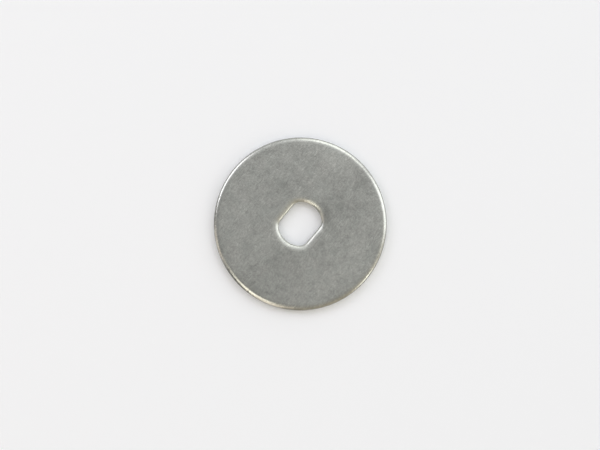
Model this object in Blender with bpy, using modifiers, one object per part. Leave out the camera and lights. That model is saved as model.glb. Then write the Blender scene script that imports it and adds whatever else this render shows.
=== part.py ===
"""A drag washer: a flat steel disc blanked from sheet, with a double-D hole.

Units are metres and +Z is up. The origin is the centre of the bottom face, on the
axis of the hole. The two flats of the hole run along X and face along Y.

One stroke of a compound die cuts the rim and the hole, so both edges have the same
section. From the top face down it is a rolled-over corner, a straight burnished land,
a torn band that leans back into the metal, and a small round at the bottom face.
"""

from math import atan2, cos, pi, sin, sqrt

import bmesh
import bpy

# Disc
OUTER_DIAMETER = 0.0165
THICKNESS = 0.0008

# Double-D hole, measured at the burnished land
HOLE_DIAMETER = 0.00415
HOLE_ACROSS_FLATS = 0.0033
HOLE_CORNER_RADIUS = 0.00065

# Section of the cut edges
ROLL_WIDTH = 0.00045
ROLL_DEPTH = 0.00024
LAND_HEIGHT = 0.0003
TORN_SETBACK = 0.00004
BOTTOM_ROUND = 0.00006

# Facets of the round shapes
RIM_STEPS = 144
ROLL_STEPS = 5
ROUND_STEPS = 3
HOLE_ARC_STEPS = 20
HOLE_CORNER_STEPS = 6

# Modelling aids
PUNCH_OVERSHOOT = 0.0005
MERGE_DISTANCE = 0.000001
COPLANAR_ANGLE = 0.0001

STEEL_COLOUR = (0.56, 0.565, 0.55, 1.0)
STEEL_ROUGHNESS = 0.35


def clear_scene():
    """Remove every object that the scene starts with."""
    for item in list(bpy.data.objects):
        bpy.data.objects.remove(item)


def new_collection(name):
    """Add a collection to the scene."""
    collection = bpy.data.collections.new(name)
    bpy.context.scene.collection.children.link(collection)
    return collection


def steel():
    """Bare stainless sheet with a satin face."""
    material = bpy.data.materials.new("stainless_steel")
    material.use_nodes = True
    shader = material.node_tree.nodes["Principled BSDF"]
    shader.inputs["Base Color"].default_value = STEEL_COLOUR
    shader.inputs["Metallic"].default_value = 1.0
    shader.inputs["Roughness"].default_value = STEEL_ROUGHNESS
    return material


def edge_section():
    """Points of a cut edge from the top face down, as setback into the metal and height.

    The rolled-over corner is a quarter of an ellipse, with its points at equal turns of slope.
    """
    section = []
    for step in range(ROLL_STEPS + 1):
        slope = pi / 2 * step / ROLL_STEPS
        angle = atan2(ROLL_WIDTH * sin(slope), ROLL_DEPTH * cos(slope))
        setback = ROLL_WIDTH * (1 - sin(angle))
        section.append((setback, THICKNESS - ROLL_DEPTH * (1 - cos(angle))))
    section.append((0, THICKNESS - ROLL_DEPTH - LAND_HEIGHT))
    for step in range(ROUND_STEPS + 1):
        angle = pi / 2 * step / ROUND_STEPS
        setback = TORN_SETBACK + BOTTOM_ROUND * (1 - cos(angle))
        section.append((setback, BOTTOM_ROUND * (1 - sin(angle))))
    return section


def arc(centre_x, centre_y, radius, start, end, steps):
    """Points on an arc, both ends included."""
    angles = [start + (end - start) * step / steps for step in range(steps + 1)]
    return [(centre_x + radius * cos(a), centre_y + radius * sin(a)) for a in angles]


def double_d(growth):
    """Outline of the hole grown by a distance, anticlockwise from the arc at +X."""
    radius = HOLE_DIAMETER / 2
    corner_y = HOLE_ACROSS_FLATS / 2 - HOLE_CORNER_RADIUS
    corner_x = sqrt((radius - HOLE_CORNER_RADIUS) ** 2 - corner_y**2)
    turn = atan2(corner_y, corner_x)
    fillet = HOLE_CORNER_RADIUS + growth
    half = arc(0, 0, radius + growth, -turn, turn, HOLE_ARC_STEPS)[1:-1]
    half += arc(corner_x, corner_y, fillet, turn, pi / 2, HOLE_CORNER_STEPS)
    half += arc(-corner_x, corner_y, fillet, pi / 2, pi - turn, HOLE_CORNER_STEPS)
    return half + [(-x, -y) for x, y in half]


def turned_blank(name, section):
    """The solid disc: the edge section closed at the axis and turned around Z."""
    rim = [(OUTER_DIAMETER / 2 - setback, height) for setback, height in section]
    profile = [(0, THICKNESS)] + rim + [(0, 0)]
    mesh = bpy.data.meshes.new(name)
    points = [(radius, 0, height) for radius, height in profile]
    mesh.from_pydata(points, [(i, i + 1) for i in range(len(points) - 1)], [])
    blank = bpy.data.objects.new(name, mesh)

    turning = blank.modifiers.new("turning", "SCREW")
    turning.axis = "Z"
    turning.steps = RIM_STEPS
    turning.render_steps = RIM_STEPS
    turning.use_merge_vertices = True
    turning.merge_threshold = MERGE_DISTANCE
    turning.use_smooth_shade = True

    # Each face's fan of triangles becomes one polygon, so the hole leaves no slivers
    flattening = blank.modifiers.new("flattening", "DECIMATE")
    flattening.decimate_type = "DISSOLVE"
    flattening.angle_limit = COPLANAR_ANGLE
    return blank


def lofted_punch(name, section):
    """The cutter for the hole: the double-D outline lofted along the edge section."""
    top_setback, top_height = section[0]
    bottom_setback, bottom_height = section[-1]
    stations = [(bottom_setback, bottom_height - PUNCH_OVERSHOOT)]
    stations += reversed(section)
    stations += [(top_setback, top_height + PUNCH_OVERSHOOT)]

    cutter = bmesh.new()
    rings = []
    for setback, height in stations:
        rings.append([cutter.verts.new((x, y, height)) for x, y in double_d(setback)])
    for lower, upper in zip(rings, rings[1:]):
        for i in range(len(lower)):
            j = (i + 1) % len(lower)
            cutter.faces.new((lower[i], lower[j], upper[j], upper[i]))
    cutter.faces.new(reversed(rings[0]))
    cutter.faces.new(rings[-1])

    mesh = bpy.data.meshes.new(name)
    cutter.to_mesh(mesh)
    cutter.free()
    mesh.shade_smooth()
    punch = bpy.data.objects.new(name, mesh)
    punch.hide_render = True
    punch.display_type = "WIRE"
    return punch


def drag_washer(collection, cutters):
    """The blanked disc with its hole punched out."""
    section = edge_section()
    washer = turned_blank("drag_washer", section)
    punch = lofted_punch("hole_punch", section)
    collection.objects.link(washer)
    cutters.objects.link(punch)

    punching = washer.modifiers.new("punching", "BOOLEAN")
    punching.operation = "DIFFERENCE"
    punching.solver = "EXACT"
    punching.object = punch

    # The large flat faces keep flat shading next to their rounded edges
    shading = washer.modifiers.new("shading", "WEIGHTED_NORMAL")
    shading.weight = 100

    washer.data.materials.append(steel())
    return washer


clear_scene()
drag_washer(new_collection("drag_washer"), new_collection("cutters"))
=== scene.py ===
"""The looks of the drag washer: its cut edges, its tumbled satin face, the lamps, the floor and the camera.

Lengths are metres. Azimuths of lamps and marks are degrees anticlockwise from the right of
the picture, seen from above. The washer's own +X lies at FLATS_AZIMUTH in the picture.
"""

import bpy
import numpy as np
from mathutils import Matrix, Vector, noise


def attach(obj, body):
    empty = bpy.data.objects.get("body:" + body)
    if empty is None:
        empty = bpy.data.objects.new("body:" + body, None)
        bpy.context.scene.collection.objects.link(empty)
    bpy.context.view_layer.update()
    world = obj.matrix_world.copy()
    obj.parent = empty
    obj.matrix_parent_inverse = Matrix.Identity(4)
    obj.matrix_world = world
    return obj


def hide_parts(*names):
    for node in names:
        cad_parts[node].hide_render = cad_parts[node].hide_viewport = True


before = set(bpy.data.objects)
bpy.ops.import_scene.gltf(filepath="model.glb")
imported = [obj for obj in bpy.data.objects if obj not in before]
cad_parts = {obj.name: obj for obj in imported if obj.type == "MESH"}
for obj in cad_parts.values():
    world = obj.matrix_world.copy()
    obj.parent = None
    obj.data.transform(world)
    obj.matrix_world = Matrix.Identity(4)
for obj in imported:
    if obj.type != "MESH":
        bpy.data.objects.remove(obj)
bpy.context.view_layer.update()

# The washer's sizes, as in the CAD model
OUTER_RADIUS = 0.00825
THICKNESS = 0.0008
HOLE_RADIUS = 0.002075
ROLL_WIDTH = 0.00045
ROLL_DEPTH = 0.00024
LAND_HEIGHT = 0.0003
TORN_SETBACK = 0.00004
BOTTOM_ROUND = 0.00006

# The hole as its highlights show it: its flats are a hair closer, its corners rounder and its
# roll wider than in the CAD model. The roll is FLATS_ROLL times as large along the flats, which
# comes in from FLATS_ROLL_START, in degrees that the outline faces away from X
HOLE_HALF_FLATS = 0.00162
HOLE_CORNER_RADIUS = 0.0009
HOLE_ROLL_WIDTH = 0.0005
FLATS_ROLL = 1.2
FLATS_ROLL_START = 50

# The shallow draw-in that leads into the roll, as the cut pulls the sheet down
DRAW_WIDTH = 0.0006
DRAW_DEPTH = 0.00002

# Columns of the fine mesh, its rings along the section, and how near to its edges the face has
# its first and last ring, as a share of its breadth
COLUMNS = 960
DRAW_RINGS = 5
ROLL_RINGS = 14
LAND_RINGS = 5
TORN_RINGS = 12
ROUND_RINGS = 5
FACE_RINGS = 6
FACE_MARGIN = 0.007

# A ring's place on the section runs from -1 to 0 down the land and from 0 to 1 down the torn band.
# Elsewhere it is one of these
ON_FACE = -3.0
ON_DRAW = -2.0
ON_ROLL = -1.0
ON_ROUND = 2.0

# Waver of the roll's width, as a share, and of the land's lower line, with their harmonics
SEED = 7
ROLL_WAVER = 0.02
ROLL_WAVES = (2, 11)
LAND_WAVER = 0.00003
LAND_WAVES = (3, 30)
LAND_FINE_WAVES = (30, 160)
LAND_FINE_SHARE = 0.5

# The torn band: the power that bends its lean, the depth and size of its grain, how fast the
# grain runs downwards, its finer octave, and the share beside each end where it is weakest
TORN_CURVE = 0.8
TORN_GRAIN = 0.000006
TORN_GRAIN_SIZE = 0.00009
TORN_GRAIN_DOWN = 0.7
TORN_FINE = 2.3
TORN_FINE_SHARE = 0.5
TORN_MARGIN = 0.05

# Tiny nicks in the roll: ranges of width, depth and slope, and their spread over the slope
NICKS = 14
NICK_WIDTHS = (0.00004, 0.00014)
NICK_DEPTHS = (0.000004, 0.000014)
NICK_SLOPES = (0.6, 1.3)
NICK_SPREAD = 0.35

# Painted shade on the roll's steep foot is a dark colour that stands in for the dark reflection there. It
# comes in over this stretch of slope, in radians, and is weaker in the hole
FOOT_SHADE_START = 0.6
FOOT_SHADE_SPAN = 0.5
HOLE_FOOT_SHADE_SHARE = 0.22

# Colours of the steel, and how much of its own colour each zone has: the land and the torn band
# first at the rim, then in the hole. In the hole the land is brightened less and the torn band
# darkened more, which is painted shade on the hole's walls on top of the torn band's own dullness
STEEL_COLOURS = ((0.597, 0.595, 0.551, 1), (0.575, 0.599, 0.551, 1))
# The foot colour is painted shade, a dark colour on the roll's steep foot in place of the dark reflection
# there
FOOT_SHADE_COLOUR = (0.05, 0.045, 0.035, 1)
FOOT_SHADE_SHARE = 0.75
LAND_COLOUR = (0.85, 0.84, 0.8, 1)
LAND_SHARES_SHADED_IN_HOLE = (0.5, 0.25)
TORN_COLOUR = (0.2, 0.19, 0.17, 1)
TORN_SHARES_SHADED_IN_HOLE = (0.15, 0.65)

# Noises of the finish: waves for each millimetre, detail, roughness and distortion
CLOUDS = (0.5, 2.0, 0.7)
MOTTLE = (2.0, 1.0, 0.7, 0.4)
SPECKLE = (5.0, 1.0, 0.8, 0.3)
STAINS = (1.3, 3.0, 0.6)
PATCHES = (0.3, 1.0, 0.5)
HUES = (0.8, 2.0, 0.6)
SCUFF_GRAIN = (2.3, 1.0, 0.6, 0.6)
SCUFF_COVER = (0.9, 1.0)

# Gain and offset that turn a noise into a mask
STAINS_RAMP = (6.0, -0.5)
PATCHES_RAMP = (5.0, -0.2)
SCUFF_RAMP = (4.0, 0.4)

# Scuffs: how many times longer than wide, and the turn in degrees and the offset that give each
# set a pattern of its own
SCUFF_STRETCH = 3.2
SCUFFS = ((20, 3.7), (80, 9.1), (140, 15.3))

# Tone of the steel, and what each layer adds to it
BASE_TONE = 1.072
CLOUDS_TONE = 0.33
MOTTLE_TONE = 0.2
FINE_TONE = 0.4
STAINS_TONE = -0.07
PATCHES_TONE = -0.08
EDGE_TONE = -0.085

# Roughness of the steel, and what each layer adds to it
BASE_ROUGHNESS = 0.23
MOTTLE_ROUGHNESS = 0.1
LAND_ROUGHNESS = -0.03
TORN_ROUGHNESS = 0.25
BORE_ROUGHNESS = 0.09

# Bump of the steel: its height, the mottle's part in it, and what a cut edge adds to its strength
BUMP_DISTANCE = 0.000006
MOTTLE_RELIEF = 0.6
EDGE_BUMP = -0.65

# The picture
PICTURE_WIDTH = 600
PICTURE_HEIGHT = 450
PIXELS_PER_MM = 10.49
WASHER_PIXEL = (300.0, 223.85)
FLATS_AZIMUTH = 50.0
CAMERA_AZIMUTH = 320.0
CAMERA_ZENITH = 3.5
LENS = 100.0
SENSOR = 36.0

# The floor lies a hair above the bottom face, so that the two don't coincide
FLOOR_HALF_WIDTH = 1.5
FLOOR_HEIGHT = 0.000002
FLOOR_COLOUR = (0.943, 0.964, 0.987, 1)
FLOOR_ROUGHNESS = 0.9

# The room's light: its level, what it gains towards ROOM_SIDE and with height, its colours
# away from and towards ROOM_FRONT, and the gain and offset of the step between those two.
# The directions are azimuth and zenith angle
ROOM_LEVEL = 0.615
ROOM_SIDE = (34, 90)
ROOM_SIDE_GAIN = 0.38
ROOM_HEIGHT_GAIN = -0.21
ROOM_FRONT = (290, 70)
ROOM_COLOURS = ((1.0, 1, 1.015, 1), (1.16, 1, 0.74, 1))
ROOM_WARMTH_RAMP = (1.25, -0.45)

# Lamps: azimuth, zenith angle, half width, half height, radiance, colour
LAMP_DISTANCE = 0.4
LAMPS = {
    "window_right": (16, 53, 17, 22, 1.1, (0.98, 1.0, 1.02)),
    "window_back": (73, 51, 15, 21, 0.85, (0.97, 1.0, 0.98)),
    "ceiling": (80, 33, 32, 23, 0.28, (1.0, 1.0, 1.05)),
    "lamp_left": (146, 54, 15, 13, 2.0, (1.02, 1.0, 1.09)),
    "left_gap": (191, 64, 9, 27, 0.65, (1.15, 1.0, 0.9)),
    "warm_lamp": (226, 35, 6, 14, 2.1, (1.05, 1.0, 0.88)),
    "front_gap": (242, 63, 11, 32, 0.8, (1.15, 1.0, 0.88)),
    "front_right_gap": (320, 61, 5, 8, 3.0, (1.0, 1.0, 0.94)),
}

# Marks: waves for each millimetre and reach of the noise that makes their outlines uneven, their
# depth, and the share of their tone that is left at half their length. Lengths are mm
MARK_NOISE = 2.5
MARK_WAVER = (0.12, 0.12, 0.0)
MARK_DEPTH = 0.2
MARK_FALL = 0.368

# Marks on the top face, in mm from the hole's centre as the picture shows them:
# right, up, length, width, azimuth, change of tone
MARKS = (
    (-4.9, 1.9, 0.75, 0.15, 70, -0.16),
    (-5.1, 1.1, 0.3, 0.25, 60, -0.11),
    (-4.5, -4.1, 1.1, 0.2, 30, -0.19),
    (-4.5, -5.6, 0.7, 0.35, 40, -0.2),
    (-1.5, 3.7, 1.1, 0.35, 40, -0.1),
    (0.8, 4.3, 0.8, 0.25, 80, -0.12),
    (-3, 6.8, 0.7, 0.25, 20, -0.1),
    (-2.3, 7, 0.8, 0.2, 15, -0.1),
    (-3.2, -6.5, 1.3, 0.25, -20, -0.12),
    (4.1, 4.4, 2, 0.15, -5, -0.07),
    (3.9, 1.8, 2, 0.35, 0, -0.07),
    (2.5, 1.2, 0.6, 1.6, 15, -0.13),
    (2.7, 0.3, 0.9, 0.4, 0, -0.08),
    (2.1, -1.9, 1.1, 0.6, 30, -0.1),
    (4.2, -1.9, 0.7, 0.25, 85, -0.07),
    (-5, -1.6, 0.3, 0.3, 0, 0.12),
    (-2.6, -6.2, 0.5, 0.25, 30, 0.12),
    (-4, -3.1, 0.3, 0.25, 0, 0.08),
    (2.9, 1.2, 3.2, 2.6, 10, -0.17),
    (3.6, 6.2, 4.2, 2.4, -35, 0.09),
    (4.9, 5, 0.5, 0.9, 10, 0.05),
    (-4.7, -5.9, 3, 1.1, -40, -0.12),
    (-2.1, -3.9, 3.2, 2.6, 25, -0.13),
    (-1.3, 3.7, 2.6, 2, 30, -0.05),
    (5.8, 4, 2.2, 3, 20, -0.16),
    (3.2, -4.8, 4.5, 2.2, 25, 0.07),
    (5.4, -3.3, 2.2, 1.8, 30, 0.04),
    (-2.5, -1.3, 1.2, 1.6, 50, 0.08),
    (1.2, -6.8, 2.6, 1, 5, 0.04),
    (-5.6, -0.2, 2.5, 5, 0, 0.06),
    (-2.3, 7.2, 2.6, 1.2, 15, -0.1),
    (-1.3, -6.7, 2, 1.2, 0, 0.1),
    (-4, 6.4, 1.8, 1.2, 40, -0.07),
    (-5.1, -3.2, 1.2, 2, 0, 0.06),
    (-5.2, 3.8, 2, 1.6, 40, 0.05),
    (2.6, 4.6, 1.4, 1.2, 0, 0.07),
    (5, -5.7, 1.4, 1, 30, -0.05),
    (-3.8, 1.2, 1.2, 1.2, 0, 0.05),
)


def drawn_down(setback, roll_width):
    """How far the draw-in has pulled the top face down at a setback from the edge."""
    share = 1 - np.minimum(setback / (roll_width + DRAW_WIDTH), 1)
    return DRAW_DEPTH * share ** 2


def section_rings(roll_width):
    """Rings of a cut edge, top face first: setback, height, slope, and place on the section."""
    rings = []
    for step in np.linspace(1, 0, DRAW_RINGS + 1)[:-1]:
        setback = roll_width + DRAW_WIDTH * step
        rings.append((setback, THICKNESS - drawn_down(setback, roll_width), 0.0, ON_DRAW))
    depth = ROLL_DEPTH - DRAW_DEPTH
    for slope in np.linspace(0, np.pi / 2, ROLL_RINGS + 1):
        angle = np.arctan2(roll_width * np.sin(slope), depth * np.cos(slope))
        setback = roll_width * (1 - np.sin(angle))
        height = THICKNESS - drawn_down(setback, roll_width) - depth * (1 - np.cos(angle))
        rings.append((setback, height, slope, ON_ROLL))
    land_top = THICKNESS - ROLL_DEPTH
    land_bottom = land_top - LAND_HEIGHT
    for step in np.linspace(0, 1, LAND_RINGS + 1)[1:]:
        rings.append((0.0, land_top - LAND_HEIGHT * step, np.pi / 2, step - 1.0))
    for step in np.linspace(0, 1, TORN_RINGS + 1)[1:]:
        height = land_bottom + (BOTTOM_ROUND - land_bottom) * step
        rings.append((TORN_SETBACK * step ** TORN_CURVE, height, np.pi / 2, step))
    for angle in np.linspace(0, np.pi / 2, ROUND_RINGS + 1)[1:]:
        setback = TORN_SETBACK + BOTTOM_ROUND * (1 - np.cos(angle))
        rings.append((setback, BOTTOM_ROUND * (1 - np.sin(angle)), np.pi / 2 + angle, ON_ROUND))
    return np.array(rings)


def ripple(draw, angles, lowest, highest):
    """A random wave round an edge, with a spread of about 1, from a band of harmonics."""
    wave = np.zeros_like(angles)
    for count in range(lowest, highest + 1):
        wave += draw.normal() * np.cos(count * angles + draw.uniform(0, 2 * np.pi))
    return wave / np.sqrt((highest - lowest + 1) / 2)


def rim_outline(angles):
    """Points of the rim and their directions into the metal."""
    out = np.stack([np.cos(angles), np.sin(angles)], axis=1)
    return OUTER_RADIUS * out, -out


def hole_outline(angles):
    """Points of the double-D hole in the given directions, and their directions into the metal."""
    corner_y = HOLE_HALF_FLATS - HOLE_CORNER_RADIUS
    corner_x = np.sqrt((HOLE_RADIUS - HOLE_CORNER_RADIUS) ** 2 - corner_y ** 2)
    corner = np.array([corner_x, corner_y])
    arc_end = np.arctan2(corner_y, corner_x)
    flat_end = np.arctan2(HOLE_HALF_FLATS, corner_x)
    points, normals = [], []
    for angle in angles:
        ray = np.array([np.cos(angle), np.sin(angle)])
        mirror = np.where(ray < 0, -1.0, 1.0)
        ray = np.abs(ray)
        turn = np.arctan2(ray[1], ray[0])
        if turn <= arc_end:
            point, normal = HOLE_RADIUS * ray, ray
        elif turn >= flat_end:
            point, normal = ray * HOLE_HALF_FLATS / ray[1], np.array([0.0, 1.0])
        else:
            along = ray @ corner
            reach = along + np.sqrt(along ** 2 - corner @ corner + HOLE_CORNER_RADIUS ** 2)
            point = reach * ray
            normal = (point - corner) / HOLE_CORNER_RADIUS
        points.append(point * mirror)
        normals.append(normal * mirror)
    return np.array(points), np.array(normals)


def torn_grain(points, high, down):
    """How far the grain of the torn band sets each point further back, or forward below zero."""
    further = np.zeros_like(high)
    scale = 1 / TORN_GRAIN_SIZE
    fine = scale * TORN_FINE
    for i in np.nonzero((down[:, 0] >= 0) & (down[:, 0] <= 1))[0]:
        weight = np.sin(np.pi * np.clip(down[i, 0], TORN_MARGIN, 1 - TORN_MARGIN)) ** 0.5
        for j in range(COLUMNS):
            x, y = points[i, j]
            z = high[i, j]
            rough = noise.noise((x * scale, y * scale, z * scale * TORN_GRAIN_DOWN))
            rough += TORN_FINE_SHARE * noise.noise((x * fine, y * fine, z * fine))
            further[i, j] = TORN_GRAIN * rough * weight
    return further


def nicked(draw, outline, back, high, slope):
    """Setbacks and heights of a cut edge, with tiny nicks pressed into its roll."""
    length = np.linalg.norm(np.roll(outline, -1, axis=0) - outline, axis=1)
    travel = np.cumsum(length)
    for _ in range(NICKS):
        place = draw.uniform(0, travel[-1])
        width = draw.uniform(*NICK_WIDTHS)
        depth = draw.uniform(*NICK_DEPTHS)
        middle = draw.uniform(*NICK_SLOPES)
        away = (travel - place + travel[-1] / 2) % travel[-1] - travel[-1] / 2
        dent = depth * np.exp(-(away / width) ** 2) * np.exp(-((slope - middle) / NICK_SPREAD) ** 2)
        dent = np.where(slope < np.pi / 2, dent, 0)
        back = back + dent * np.sin(slope)
        high = high - dent * np.cos(slope)
    return back, high


def cut_edge(outline_of, angles, roll_width, flats_roll, seed):
    """Points of a cut edge as rings by columns, with their places on the section and the share of painted
    shade on the roll's foot.

    The roll is flats_roll times as large where the outline faces along Y. The painted shade goes
    from 0 to 1 down the roll, and is 0 below it.
    """
    draw = np.random.default_rng(seed)
    outline, inward = outline_of(angles)
    rings = section_rings(roll_width)
    setback, height, slope, down = (rings[:, k][:, None] for k in range(4))
    rolled = slope < np.pi / 2

    # The line between land and torn band wavers, fading towards the roll and the bottom
    lift = ripple(draw, angles, *LAND_WAVES)
    lift = LAND_WAVER * (lift + LAND_FINE_SHARE * ripple(draw, angles, *LAND_FINE_WAVES))
    fade = np.where(down < 0, np.clip(1 + down, 0, 1), np.clip(1 - down, 0, 1))
    fade = np.where(down > 1, 0, np.where(rolled, 0, fade))

    # A larger roll reaches further down, which the land makes up for
    turn = np.degrees(np.arcsin(np.clip(np.abs(inward[:, 1]), 0, 1)))
    size = 1 + (flats_roll - 1) * np.clip((turn - FLATS_ROLL_START) / (90 - FLATS_ROLL_START), 0, 1)
    drop = (size - 1) * np.where(down > ON_ROLL, -down * ROLL_DEPTH, THICKNESS - height)
    high = height + lift * fade - np.where(down < 0, drop, 0)

    waver = 1 + ROLL_WAVER * ripple(draw, angles, *ROLL_WAVES)
    back = np.where(rolled, setback * waver * size, setback)
    back = back + torn_grain(outline + inward * back[:, :, None], high, down)
    back, high = nicked(draw, outline, back, high, slope)
    points = np.concatenate([outline + inward * back[:, :, None], high[:, :, None]], axis=2)
    # Share of painted shade on the roll's steep foot, rising with the slope
    foot_shade = np.where(down > ON_ROLL, 0.0, np.clip((slope - FOOT_SHADE_START) / FOOT_SHADE_SPAN, 0, 1))
    return points, np.broadcast_to(down, back.shape), np.broadcast_to(foot_shade, back.shape)


def store(mesh, name, values):
    """Keep one number for each point of a mesh, for its material to read."""
    attribute = mesh.attributes.new(name, "FLOAT", "POINT")
    attribute.data.foreach_set("value", values.ravel().astype(np.float32))


def washer_mesh():
    """The whole washer as one closed grid: top face, rim, bottom face and hole."""
    angles = np.linspace(0, 2 * np.pi, COLUMNS, endpoint=False)
    rim, rim_down, rim_foot_shade = cut_edge(rim_outline, angles, ROLL_WIDTH, 1.0, SEED)
    hole, hole_down, hole_foot_shade = cut_edge(hole_outline, angles, HOLE_ROLL_WIDTH, FLATS_ROLL, SEED + 1)
    steps = np.linspace(0, 1, FACE_RINGS + 2)[1:-1]
    steps = np.concatenate([[FACE_MARGIN], steps, [1 - FACE_MARGIN]])[:, None, None]
    top = hole[0] + (rim[0] - hole[0]) * steps
    bottom = rim[-1] + (hole[-1] - rim[-1]) * steps
    points = np.concatenate([top, rim, bottom, hole[::-1]])
    face_down = np.full((len(steps), COLUMNS), ON_FACE)
    down = np.concatenate([face_down, rim_down, face_down, hole_down[::-1]])
    level = np.zeros_like(face_down)
    foot_shade = np.concatenate([level, rim_foot_shade, level, HOLE_FOOT_SHADE_SHARE * hole_foot_shade[::-1]])

    rings = len(points)
    index = np.arange(rings * COLUMNS).reshape(rings, COLUMNS)
    below = np.roll(index, -1, axis=0)
    faces = np.stack([index, below, np.roll(below, -1, axis=1), np.roll(index, -1, axis=1)], axis=-1)
    mesh = bpy.data.meshes.new("washer_fine")
    mesh.from_pydata(points.reshape(-1, 3), [], faces.reshape(-1, 4))
    mesh.shade_smooth()

    edge = down > ON_DRAW
    in_hole = np.arange(rings)[:, None] >= rings - len(hole)
    store(mesh, "edge", edge)
    store(mesh, "bore", edge & in_hole)
    store(mesh, "land", (down > ON_ROLL) & (down <= 0))
    store(mesh, "torn", (down > 0) & (down <= 1))
    store(mesh, "foot_shade", foot_shade)
    return mesh


def node(tree, kind, inputs=None, **settings):
    """Add a shader node, set or link its inputs, and return it."""
    made = tree.nodes.new(kind)
    for name, value in settings.items():
        setattr(made, name, value)
    for name, value in (inputs or {}).items():
        if isinstance(value, bpy.types.NodeSocket):
            tree.links.new(value, made.inputs[name])
        else:
            made.inputs[name].default_value = value
    return made


def maths(tree, operation, first, second=0.0, third=0.0):
    """The result of one math node."""
    return node(tree, "ShaderNodeMath", {0: first, 1: second, 2: third}, operation=operation).outputs[0]


def weighted_sum(tree, base, *layers):
    """A base value plus each layer times its weight."""
    total = base
    for layer, weight in layers:
        total = maths(tree, "MULTIPLY_ADD", layer, weight, total)
    return total


def ramp(tree, value, gain, offset):
    """A value times a gain plus an offset, held between 0 and 1."""
    sloped = maths(tree, "MULTIPLY_ADD", value, gain, offset)
    return node(tree, "ShaderNodeClamp", {"Value": sloped}).outputs[0]


def blend_colours(tree, factor, first, second):
    """A mix of two colours."""
    made = node(tree, "ShaderNodeMix", {0: factor, 6: first, 7: second}, data_type="RGBA")
    return made.outputs[2]


def grain(tree, vector, scale, detail=2.0, roughness=0.5, distortion=0.0):
    """Noise about zero, with the scale in waves for each millimetre."""
    made = node(tree, "ShaderNodeTexNoise", {"Vector": vector, "Scale": scale, "Detail": detail,
                                             "Roughness": roughness, "Distortion": distortion})
    return maths(tree, "SUBTRACT", made.outputs["Fac"], 0.5)


def zone(tree, name):
    """One of the numbers that washer_mesh stores, from 0 to 1."""
    return node(tree, "ShaderNodeAttribute", attribute_name=name).outputs["Fac"]


def rim_or_bore(tree, bore, at_rim, in_bore):
    """One value outside the hole and another inside it."""
    return weighted_sum(tree, at_rim, (bore, in_bore - at_rim))


def scuffs(tree, mm, turn, offset):
    """Short streaks along the washer's X, in some places only, in a pattern that turn and offset pick."""
    turned = node(tree, "ShaderNodeMapping", {"Vector": mm, "Location": (offset, offset, 0),
                                              "Rotation": (0, 0, np.radians(turn)),
                                              "Scale": (1.0, SCUFF_STRETCH, 1.0)}).outputs[0]
    streaks = grain(tree, turned, *SCUFF_GRAIN)
    shifted = node(tree, "ShaderNodeVectorMath", {0: mm, 1: (offset, 0, offset)}).outputs[0]
    cover = ramp(tree, grain(tree, shifted, *SCUFF_COVER), *SCUFF_RAMP)
    return maths(tree, "MULTIPLY", streaks, cover)


def marks(tree, mm):
    """The sum of the soft spots and strokes on the top face, light ones above zero."""
    waver = node(tree, "ShaderNodeTexNoise", {"Vector": mm, "Scale": MARK_NOISE, "Detail": 2.0})
    waver = node(tree, "ShaderNodeVectorMath", {0: waver.outputs["Color"], 1: (0.5, 0.5, 0.5)},
                 operation="SUBTRACT")
    uneven = node(tree, "ShaderNodeVectorMath", {0: waver.outputs[0], 1: MARK_WAVER, 2: mm},
                  operation="MULTIPLY_ADD").outputs[0]
    total = 0.0
    for right, up, length, width, azimuth, strength in MARKS:
        middle = Matrix.Rotation(np.radians(-FLATS_AZIMUTH), 3, "Z") @ Vector((right, up, 0))
        settings = {"Vector": uneven, "Location": (middle.x, middle.y, THICKNESS * 1000),
                    "Rotation": (0, 0, np.radians(azimuth - FLATS_AZIMUTH)),
                    "Scale": (length / 2, width / 2, MARK_DEPTH)}
        inside = node(tree, "ShaderNodeMapping", settings, vector_type="TEXTURE").outputs[0]
        square = node(tree, "ShaderNodeVectorMath", {0: inside, 1: inside}, operation="DOT_PRODUCT")
        fall = maths(tree, "POWER", MARK_FALL, square.outputs["Value"])
        total = maths(tree, "MULTIPLY_ADD", fall, strength, total)
    return total


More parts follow.
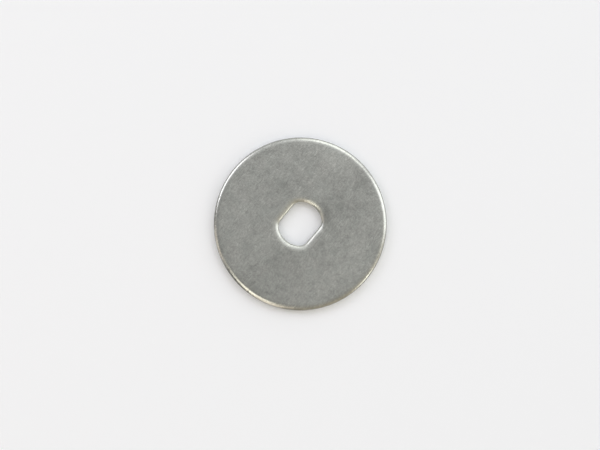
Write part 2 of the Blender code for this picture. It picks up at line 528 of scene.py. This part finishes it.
def steel_material():
    """Tumbled stainless steel: mottled satin faces, bright lands, dim torn bands, and painted shade on the
    roll feet and on the hole's walls.
    """
    material = bpy.data.materials.new("tumbled_stainless_steel")
    material.use_nodes = True
    tree = material.node_tree
    shader = tree.nodes["Principled BSDF"]
    shader.inputs["Metallic"].default_value = 1.0

    place = node(tree, "ShaderNodeTexCoord").outputs["Object"]
    mm = node(tree, "ShaderNodeVectorMath", {0: place, "Scale": 1000.0}, operation="SCALE").outputs[0]
    edge = zone(tree, "edge")
    bore = zone(tree, "bore")
    land = zone(tree, "land")
    torn = zone(tree, "torn")

    clouds = grain(tree, mm, *CLOUDS)
    mottle = grain(tree, mm, *MOTTLE)
    streaks = 0.0
    for turn, offset in SCUFFS:
        streaks = maths(tree, "ADD", streaks, scuffs(tree, mm, turn, offset))
    fine = maths(tree, "ADD", streaks, grain(tree, mm, *SPECKLE))
    stains = ramp(tree, grain(tree, mm, *STAINS), *STAINS_RAMP)
    patches = ramp(tree, grain(tree, mm, *PATCHES), *PATCHES_RAMP)

    tone = weighted_sum(tree, BASE_TONE, (clouds, CLOUDS_TONE), (mottle, MOTTLE_TONE), (fine, FINE_TONE),
                        (stains, STAINS_TONE), (patches, PATCHES_TONE), (edge, EDGE_TONE))
    tone = maths(tree, "ADD", tone, marks(tree, mm))
    hue = maths(tree, "ADD", grain(tree, mm, *HUES), 0.5)
    colour = blend_colours(tree, hue, *STEEL_COLOURS)
    colour = node(tree, "ShaderNodeVectorMath", {0: colour, "Scale": tone}, operation="SCALE").outputs[0]
    # Painted shade: a dark colour on the roll's steep foot
    dark = maths(tree, "MULTIPLY", zone(tree, "foot_shade"), FOOT_SHADE_SHARE)
    colour = blend_colours(tree, dark, colour, FOOT_SHADE_COLOUR)
    # In the hole the land is brightened less and the torn band darkened more: painted shade on the hole's
    # walls
    bright = maths(tree, "MULTIPLY", land, rim_or_bore(tree, bore, *LAND_SHARES_SHADED_IN_HOLE))
    colour = blend_colours(tree, bright, colour, LAND_COLOUR)
    dull_and_hole_shade = maths(tree, "MULTIPLY", torn, rim_or_bore(tree, bore, *TORN_SHARES_SHADED_IN_HOLE))
    colour = blend_colours(tree, dull_and_hole_shade, colour, TORN_COLOUR)
    tree.links.new(colour, shader.inputs["Base Color"])

    rough = weighted_sum(tree, BASE_ROUGHNESS, (mottle, MOTTLE_ROUGHNESS), (land, LAND_ROUGHNESS),
                         (torn, TORN_ROUGHNESS), (bore, BORE_ROUGHNESS))
    tree.links.new(rough, shader.inputs["Roughness"])

    relief = weighted_sum(tree, fine, (mottle, MOTTLE_RELIEF))
    strength = weighted_sum(tree, 1.0, (edge, EDGE_BUMP))
    bump = node(tree, "ShaderNodeBump", {"Strength": strength, "Distance": BUMP_DISTANCE, "Height": relief})
    tree.links.new(bump.outputs["Normal"], shader.inputs["Normal"])
    return material


def floor_material():
    """Plain matt paper."""
    material = bpy.data.materials.new("floor_paper")
    material.use_nodes = True
    shader = material.node_tree.nodes["Principled BSDF"]
    shader.inputs["Base Color"].default_value = FLOOR_COLOUR
    shader.inputs["Roughness"].default_value = FLOOR_ROUGHNESS
    shader.inputs["Specular IOR Level"].default_value = 0.1
    return material


def heading(azimuth, zenith):
    """Direction for an azimuth in the picture and an angle down from overhead, in degrees."""
    a = np.radians(azimuth - FLATS_AZIMUTH)
    z = np.radians(zenith)
    return Vector((np.sin(z) * np.cos(a), np.sin(z) * np.sin(a), np.cos(z)))


def softbox(name, azimuth, zenith, half_width, half_height, radiance, colour):
    """A rectangular lamp aimed at the washer, its width level, its half sizes in degrees."""
    lamp = bpy.data.lights.new(name, "AREA")
    lamp.shape = "RECTANGLE"
    lamp.size = 2 * LAMP_DISTANCE * np.tan(np.radians(half_width))
    lamp.size_y = 2 * LAMP_DISTANCE * np.tan(np.radians(half_height))
    lamp.energy = radiance * np.pi * lamp.size * lamp.size_y
    lamp.color = colour
    made = bpy.data.objects.new(name, lamp)
    bpy.context.scene.collection.objects.link(made)
    back = heading(azimuth, zenith)
    made.location = back * LAMP_DISTANCE
    made.rotation_mode = "QUATERNION"
    made.rotation_quaternion = back.to_track_quat("Z", "Y")


def room_light():
    """Soft light from all round: brighter towards the back right and the horizon, warm in front."""
    world = bpy.data.worlds.new("room")
    bpy.context.scene.world = world
    world.use_nodes = True
    tree = world.node_tree
    way = node(tree, "ShaderNodeTexCoord").outputs["Generated"]
    side = node(tree, "ShaderNodeVectorMath", {0: way, 1: heading(*ROOM_SIDE)}, operation="DOT_PRODUCT")
    front = node(tree, "ShaderNodeVectorMath", {0: way, 1: heading(*ROOM_FRONT)}, operation="DOT_PRODUCT")
    height = node(tree, "ShaderNodeSeparateXYZ", {"Vector": way}).outputs["Z"]
    level = weighted_sum(tree, ROOM_LEVEL, (side.outputs["Value"], ROOM_SIDE_GAIN),
                         (height, ROOM_HEIGHT_GAIN))
    warmth = ramp(tree, front.outputs["Value"], *ROOM_WARMTH_RAMP)
    background = tree.nodes["Background"]
    tree.links.new(blend_colours(tree, warmth, *ROOM_COLOURS), background.inputs["Color"])
    tree.links.new(level, background.inputs["Strength"])


def camera():
    """A long lens almost straight above the washer, turned so that the flats lie as in the picture."""
    data = bpy.data.cameras.new("camera")
    data.lens = LENS
    data.sensor_width = SENSOR
    data.clip_start = 0.01
    data.clip_end = 5.0
    made = bpy.data.objects.new("camera", data)
    bpy.context.scene.collection.objects.link(made)
    bpy.context.scene.camera = made
    metres_per_pixel = 0.001 / PIXELS_PER_MM
    distance = PICTURE_WIDTH * metres_per_pixel * LENS / SENSOR
    back = heading(CAMERA_AZIMUTH, CAMERA_ZENITH)
    level_up = heading(90, 90)
    up = (level_up - back * back.dot(level_up)).normalized()
    right = up.cross(back)
    aside = (PICTURE_WIDTH / 2 - WASHER_PIXEL[0]) * metres_per_pixel
    above = (WASHER_PIXEL[1] - PICTURE_HEIGHT / 2) * metres_per_pixel
    middle = Vector((0, 0, THICKNESS - ROLL_DEPTH))
    made.location = middle + right * aside + up * above + back * distance
    made.rotation_mode = "QUATERNION"
    made.rotation_quaternion = Matrix((right, up, back)).transposed().to_quaternion()


def floor():
    """A wide pale floor under the washer."""
    mesh = bpy.data.meshes.new("floor")
    signs = [(-1, -1), (1, -1), (1, 1), (-1, 1)]
    corners = [(x * FLOOR_HALF_WIDTH, y * FLOOR_HALF_WIDTH, FLOOR_HEIGHT) for x, y in signs]
    mesh.from_pydata(corners, [], [(0, 1, 2, 3)])
    mesh.materials.append(floor_material())
    made = bpy.data.objects.new("floor", mesh)
    bpy.context.scene.collection.objects.link(made)


def washer():
    """The finely meshed washer in the place of the CAD node."""
    mesh = washer_mesh()
    mesh.materials.append(steel_material())
    made = bpy.data.objects.new("washer_fine", mesh)
    bpy.context.scene.collection.objects.link(made)
    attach(made, "root")
    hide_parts("drag_washer")


bpy.context.scene.view_settings.view_transform = "Standard"
camera()
room_light()
for lamp_name, settings in LAMPS.items():
    softbox(lamp_name, *settings)
floor()
washer()
